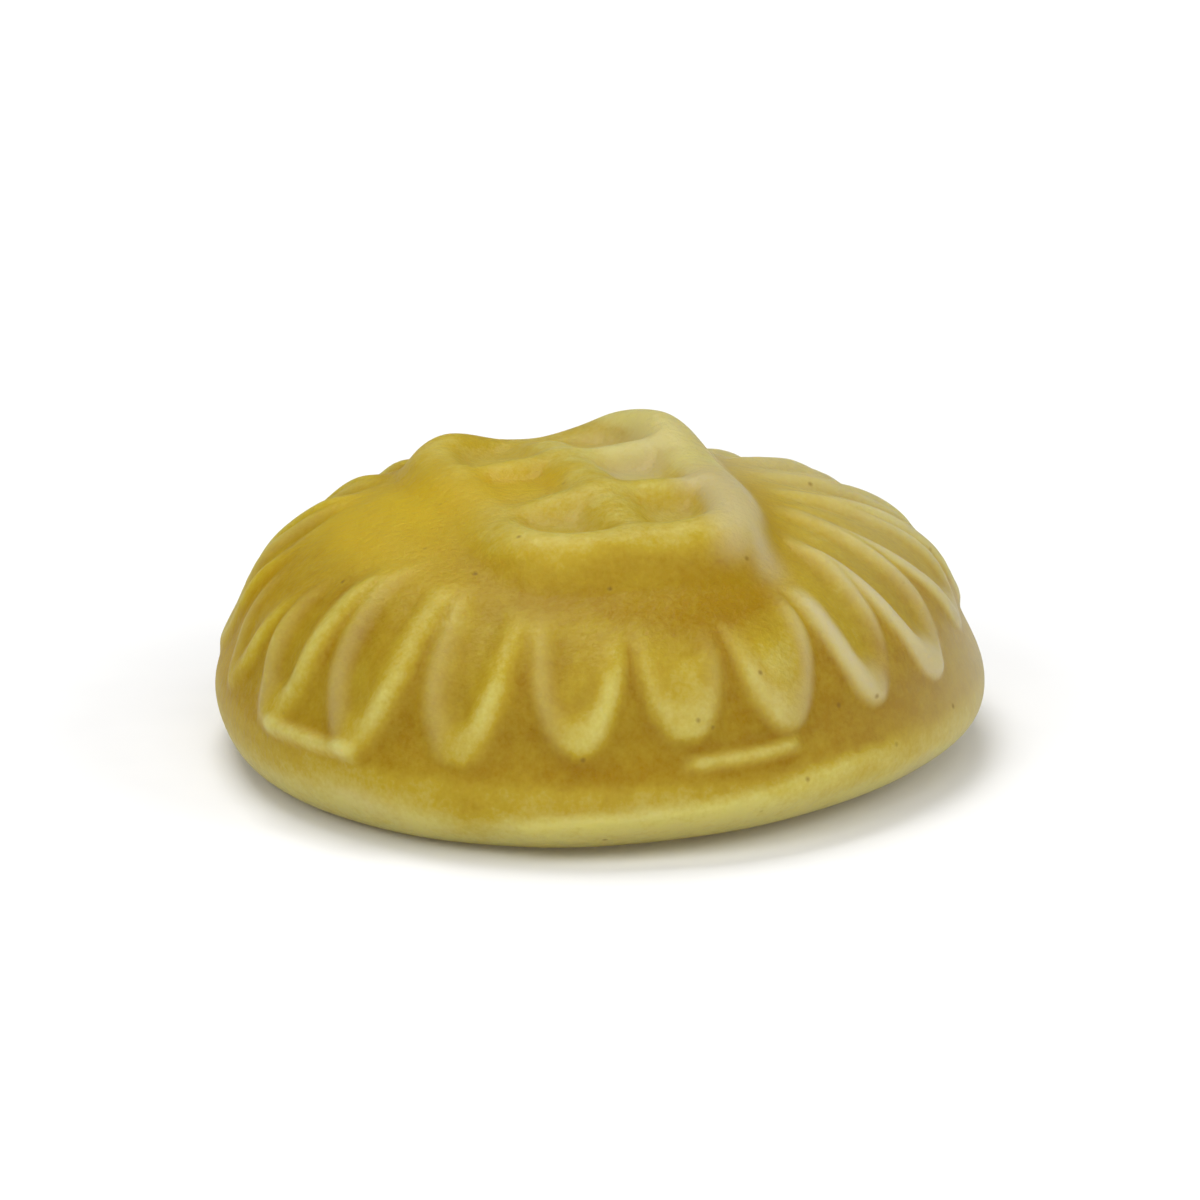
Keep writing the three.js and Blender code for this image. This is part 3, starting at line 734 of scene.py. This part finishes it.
def pastille():
    """The piece, with its painted tone of light and shade, its painted glow, and its dust and
    sheen on its points
    """
    mesh, ways = round_blank()
    azimuth = azimuth_of(ways[:, 0], ways[:, 1])
    polar = np.arccos(np.clip(ways[:, 2], -1, 1))
    r, z, tone, dust_and_sheen = moulded(azimuth, polar)
    r = r * out_of_round(azimuth)
    x, y = r * np.sin(azimuth), -r * np.cos(azimuth)
    on_dome = polar < DOME_SHARE
    crown = on_dome & (np.hypot(x, y) < LATTICE_REACH)
    past_frame = frame_share(x, y)[1]
    raised = soft_max(z, lattice_height(x, y), LATTICE_BLEND)
    tone, dust_and_sheen, painted_glow = crown_looks(x, y, z, tone, dust_and_sheen, raised - z, crown)
    painted_glow = np.where(on_dome, painted_glow, 0) + LEFT_SIDE_GLOW * facing(azimuth, *LEFT_GLOW)
    z = np.where(crown, raised, z)

    swell = SWELL * unevenness(x, y, z, *SWELL_WAVES)
    swell = swell + RIPPLE * unevenness(x, y, z, *RIPPLE_WAVES)
    z = z + swell * smooth(z - UNEVEN_ABOVE)
    wider = 1 + SIDEWAYS * unevenness(x, y, z, *SIDEWAYS_WAVES)
    x, y = x * wider, y * wider
    x -= (x.max() + x.min()) / 2
    y -= (y.max() + y.min()) / 2
    mesh.vertices.foreach_set("co", np.stack([x, y, z], axis=1).ravel())
    near_frame = (past_frame < SOFTEN_PAST_FRAME) & (z > RIM_HEIGHT)
    soften(mesh, ((z > SOFTEN_ABOVE, DOME_SOFTENING), (near_frame, CROWN_SOFTENING)))

    patches = smooth(unevenness(x, y, z, *PATCH_WAVES) - PATCH_FROM) * rise(tone, *PALE_ENOUGH)
    dust_and_sheen = np.maximum(dust_and_sheen, PATCH_DUST_AND_SHEEN * patches)
    for name, values in (("tone", tone), ("painted_glow", painted_glow), ("dust_and_sheen", dust_and_sheen)):
        shade = mesh.attributes.new(name, "FLOAT", "POINT")
        shade.data.foreach_set("value", clamp01(values))
    piece = bpy.data.objects.new("pastille_gum", mesh)
    bpy.context.collection.objects.link(piece)
    return piece


def paint(hex_colour):
    """A colour from its sRGB hex value, in the linear form that shaders take"""
    parts = [int(hex_colour[i : i + 2], 16) / 255 for i in (1, 3, 5)]
    linear = [c / 12.92 if c <= 0.04045 else ((c + 0.055) / 1.055) ** 2.4 for c in parts]
    return (*linear, 1.0)


def fresh_material(name):
    material = bpy.data.materials.new(name)
    material.use_nodes = True
    material.node_tree.nodes.clear()
    return material


def node(material, kind, settings, inputs):
    """Adds a node, sets its own settings, and fills or links its inputs, which go by name
    or, where several share one name, by number. Gives the node's outputs"""
    added = material.node_tree.nodes.new(kind)
    for name, value in settings.items():
        setattr(added, name, value)
    for name, value in inputs.items():
        socket = added.inputs[name]
        if isinstance(value, bpy.types.NodeSocket):
            material.node_tree.links.new(value, socket)
        else:
            socket.default_value = value
    return added.outputs


# A mix of colours takes its two colours at these inputs and gives its own at this output
MIX_FROM, MIX_TO, MIXED = 6, 7, 2
OF_COLOURS = {"data_type": "RGBA"}
TIMES_AND_PLUS = {"operation": "MULTIPLY_ADD"}
CLAMPED_SUM = {"operation": "ADD", "use_clamp": True}

# What makes the gum uneven: its size, its detail and how much it shifts the tone. They
# are clouds of thicker gum, mottling and the print of the starch bed. Starch grains are
# about 0.02 mm, too fine to show, so they are drawn at 0.13 mm
GUM_PATTERNS = (
    (1.9 * MM, 3.0, 0.5),
    (0.45 * MM, 4.0, 0.5),
    (0.13 * MM, 2.0, 0.4),
)

# Specks of air under the skin: how far apart they lie, and how much of that their dark
# heart takes and their rim reaches
SPECK_SPACING = 1.4 * MM
SPECK_HEART, SPECK_RIM, SPECK_STRENGTH = 0.02, 0.07, 0.7

# The skin: pits left by clumps of starch, and wrinkles that are drawn out up the side
PIT_SIZE, PIT_STRENGTH = 0.22 * MM, 0.9
WRINKLE_SIZE, WRINKLE_STRENGTH, WRINKLE_STRETCH = 0.6 * MM, 0.6, 0.2
SKIN_DEPTH = 0.05 * MM
SHINE_LEAST, SHINE_BY_TONE = 0.04, 0.3

# How far red, green and blue light travel under the skin, in millimetres, and how densely
# the gum takes up light, per metre, so that its colour deepens over about 3 mm
LIGHT_TRAVELS = (3.2, 2.6, 0.7)
COLOUR_IN_DEPTH = 300.0

# The ramp for the painted tone: deep gold where shade is painted, pale gold where light is painted
DEEP_GOLD, GOLD, PALE_GOLD = "#a68000", "#bfa628", "#d6cb72"
# The painted glow of light through thin gum
PAINTED_GLOW_GOLD = "#ceae1c"
# The colour of starch dust and of the painted whitish sheen
STARCH_AND_SHEEN = "#cdbf92"
DARK_SPECK = "#7c5a16"
OILY_SHINE = "#f6ecc4"
GUM_IN_DEPTH = "#e5d542"


def gum_colour(material, where, tone):
    """Gold to pale by the painted tone, with the painted glow, the starch dust and painted
    sheen, and specks over it
    """
    uneven = tone
    for size, detail, strength in GUM_PATTERNS:
        scaled = {"Vector": where, "Scale": 1 / size, "Detail": detail}
        pattern = node(material, "ShaderNodeTexNoise", {}, scaled)["Fac"]
        shift = {0: pattern, 1: strength, 2: uneven}
        uneven = node(material, "ShaderNodeMath", TIMES_AND_PLUS, shift)["Value"]
    half_shift = sum(strength for _, _, strength in GUM_PATTERNS) / 2
    centred = node(material, "ShaderNodeMath", CLAMPED_SUM, {0: uneven, 1: -half_shift})["Value"]
    colour = node(material, "ShaderNodeValToRGB", {}, {"Fac": centred})["Color"]
    stops = colour.node.color_ramp.elements
    stops[0].color = paint(DEEP_GOLD)
    stops[1].color = paint(PALE_GOLD)
    stops.new(PLAIN).color = paint(GOLD)

    spaced = {"Vector": where, "Scale": 1 / SPECK_SPACING}
    from_speck = node(material, "ShaderNodeTexVoronoi", {}, spaced)["Distance"]
    speck_edge = {
        "Value": from_speck,
        "From Min": SPECK_HEART,
        "From Max": SPECK_RIM,
        "To Min": SPECK_STRENGTH,
        "To Max": 0.0,
    }
    speck = node(material, "ShaderNodeMapRange", {}, speck_edge)["Result"]
    painted_glow = node(material, "ShaderNodeAttribute", {"attribute_name": "painted_glow"}, {})["Fac"]
    dust_and_sheen = node(material, "ShaderNodeAttribute", {"attribute_name": "dust_and_sheen"}, {})["Fac"]
    for share, over in ((painted_glow, PAINTED_GLOW_GOLD), (dust_and_sheen, STARCH_AND_SHEEN), (speck, DARK_SPECK)):
        layers = {"Factor": share, MIX_FROM: colour, MIX_TO: paint(over)}
        colour = node(material, "ShaderNodeMix", OF_COLOURS, layers)[MIXED]
    return colour


def gum_skin(material, where):
    """The frosted skin: fine pits over wrinkles that run up the side"""
    drawn_out = {"Vector": where, "Scale": (1, 1, WRINKLE_STRETCH)}
    upright = node(material, "ShaderNodeMapping", {"vector_type": "POINT"}, drawn_out)["Vector"]
    wrinkled = {"Vector": upright, "Scale": 1 / WRINKLE_SIZE, "Detail": 2.0}
    wrinkles = node(material, "ShaderNodeTexNoise", {}, wrinkled)["Fac"]
    pitted = {"Vector": where, "Scale": 1 / PIT_SIZE, "Detail": 3.0, "Roughness": 0.6}
    pits = node(material, "ShaderNodeTexNoise", {}, pitted)["Fac"]
    creasing = {"Height": wrinkles, "Strength": WRINKLE_STRENGTH, "Distance": SKIN_DEPTH}
    creased = node(material, "ShaderNodeBump", {}, creasing)["Normal"]
    pitting = {"Height": pits, "Strength": PIT_STRENGTH, "Distance": SKIN_DEPTH, "Normal": creased}
    return node(material, "ShaderNodeBump", {}, pitting)["Normal"]


# Starch-moulded gum: sugar and gelatine set to a cloudy, firm jelly, with a skin that is
# frosted by the starch and has a trace of oil. Its colour has painted shade, deep gold in the
# hollows and under the tips, and a painted pale highlight on every raised edge, which
# shines a little more too.
def gum():
    material = fresh_material("starch_moulded_gum")
    where = node(material, "ShaderNodeTexCoord", {}, {})["Object"]
    tone = node(material, "ShaderNodeAttribute", {"attribute_name": "tone"}, {})["Fac"]
    by_tone = {0: tone, 1: SHINE_BY_TONE, 2: SHINE_LEAST}
    shine = node(material, "ShaderNodeMath", TIMES_AND_PLUS, by_tone)["Value"]
    cloudy = {
        "Base Color": gum_colour(material, where, tone),
        "Roughness": 0.48,
        "IOR": 1.47,
        "Specular IOR Level": shine,
        "Specular Tint": paint(OILY_SHINE),
        "Transmission Weight": 0.4,
        "Subsurface Weight": 0.8,
        "Subsurface Radius": LIGHT_TRAVELS,
        "Subsurface Scale": MM,
        "Normal": gum_skin(material, where),
    }
    surface = node(material, "ShaderNodeBsdfPrincipled", {}, cloudy)["BSDF"]
    clear_gold = {"Color": paint(GUM_IN_DEPTH), "Density": COLOUR_IN_DEPTH}
    depth = node(material, "ShaderNodeVolumeAbsorption", {}, clear_gold)["Volume"]
    node(material, "ShaderNodeOutputMaterial", {}, {"Surface": surface, "Volume": depth})
    return material


# Matt card, pressed from pale pulp. Under these lights its pale grey reads as white, so
# that the table and the far wall are one and only the shadow shows. Its pulp clouds it a
# little, a few millimetres apart.
PULP_SIZE = 4 * MM
PULP_DARK, PULP_PALE = "#e4e4e4", "#eaeaea"


def white_card():
    material = fresh_material("white_card")
    where = node(material, "ShaderNodeTexCoord", {}, {})["Object"]
    clouded = {"Vector": where, "Scale": 1 / PULP_SIZE, "Detail": 2.0}
    pulp = node(material, "ShaderNodeTexNoise", {}, clouded)["Fac"]
    greys = {"Factor": pulp, MIX_FROM: paint(PULP_DARK), MIX_TO: paint(PULP_PALE)}
    grey = node(material, "ShaderNodeMix", OF_COLOURS, greys)[MIXED]
    matt = {"Base Color": grey, "Roughness": 0.9}
    surface = node(material, "ShaderNodeBsdfPrincipled", {}, matt)["BSDF"]
    node(material, "ShaderNodeOutputMaterial", {}, {"Surface": surface})
    return material


# The table, the lights and the camera stand well away, in metres
TABLE_HALF = 0.6


def table():
    flat = bmesh.new()
    bmesh.ops.create_grid(flat, x_segments=1, y_segments=1, size=TABLE_HALF)
    mesh = bpy.data.meshes.new("table")
    flat.to_mesh(mesh)
    flat.free()
    floor = bpy.data.objects.new("table", mesh)
    floor.data.materials.append(white_card())
    bpy.context.collection.objects.link(floor)


# Soft boxes round the piece: the place, the width and height, and the power in watts
SOFT_BOXES = {
    "left_box": ((-0.3, -0.25, 0.3), (0.22, 0.22), 0.62),
    "right_box": ((0.35, -0.1, 0.22), (0.22, 0.22), 0.6),
    "front_box": ((0.05, -0.25, 0.4), (0.5, 0.3), 0.85),
    "top_box": ((-0.08, 0.14, 0.4), (0.3, 0.2), 1.25),
    "low_box": ((0.02, -0.4, 0.05), (0.4, 0.08), 0.6),
}
LIT_POINT = Vector((0, 0, 3 * MM))
ROOM_LIGHT = 0.2


def soft_box(name, place, size, power):
    light = bpy.data.lights.new(name, "AREA")
    light.shape = "RECTANGLE"
    light.size, light.size_y = size
    light.energy = power
    lamp = bpy.data.objects.new(name, light)
    lamp.location = place
    lamp.rotation_euler = (LIT_POINT - Vector(place)).to_track_quat("-Z", "Y").to_euler()
    bpy.context.collection.objects.link(lamp)


def studio():
    world = bpy.data.worlds.new("studio")
    world.use_nodes = True
    back = world.node_tree.nodes["Background"]
    back.inputs["Color"].default_value = paint("#ffffff")
    back.inputs["Strength"].default_value = ROOM_LIGHT
    bpy.context.scene.world = world
    for name, (place, size, power) in SOFT_BOXES.items():
        soft_box(name, place, size, power)
    bpy.context.scene.view_settings.view_transform = "Standard"


CAMERA_ELEVATION = math.radians(18)
CAMERA_DISTANCE = 0.4
VIEW_WIDTH = 0.031
SENSOR_WIDTH = 36
NEAREST_SEEN = 0.01


def camera():
    low, high = (Vector(corner) for corner in cad_box)
    middle = (low + high) / 2
    eye = bpy.data.cameras.new("camera")
    eye.sensor_width = SENSOR_WIDTH
    eye.lens = SENSOR_WIDTH * CAMERA_DISTANCE / VIEW_WIDTH
    eye.clip_start = NEAREST_SEEN
    holder = bpy.data.objects.new("camera", eye)
    away = Vector((0, -math.cos(CAMERA_ELEVATION), math.sin(CAMERA_ELEVATION)))
    holder.location = middle + away * CAMERA_DISTANCE
    holder.rotation_euler = (-away).to_track_quat("-Z", "Y").to_euler()
    bpy.context.collection.objects.link(holder)
    bpy.context.scene.camera = holder


sweet = pastille()
sweet.data.materials.append(gum())
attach(sweet, "root")
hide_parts("pastille")
table()
studio()
camera()
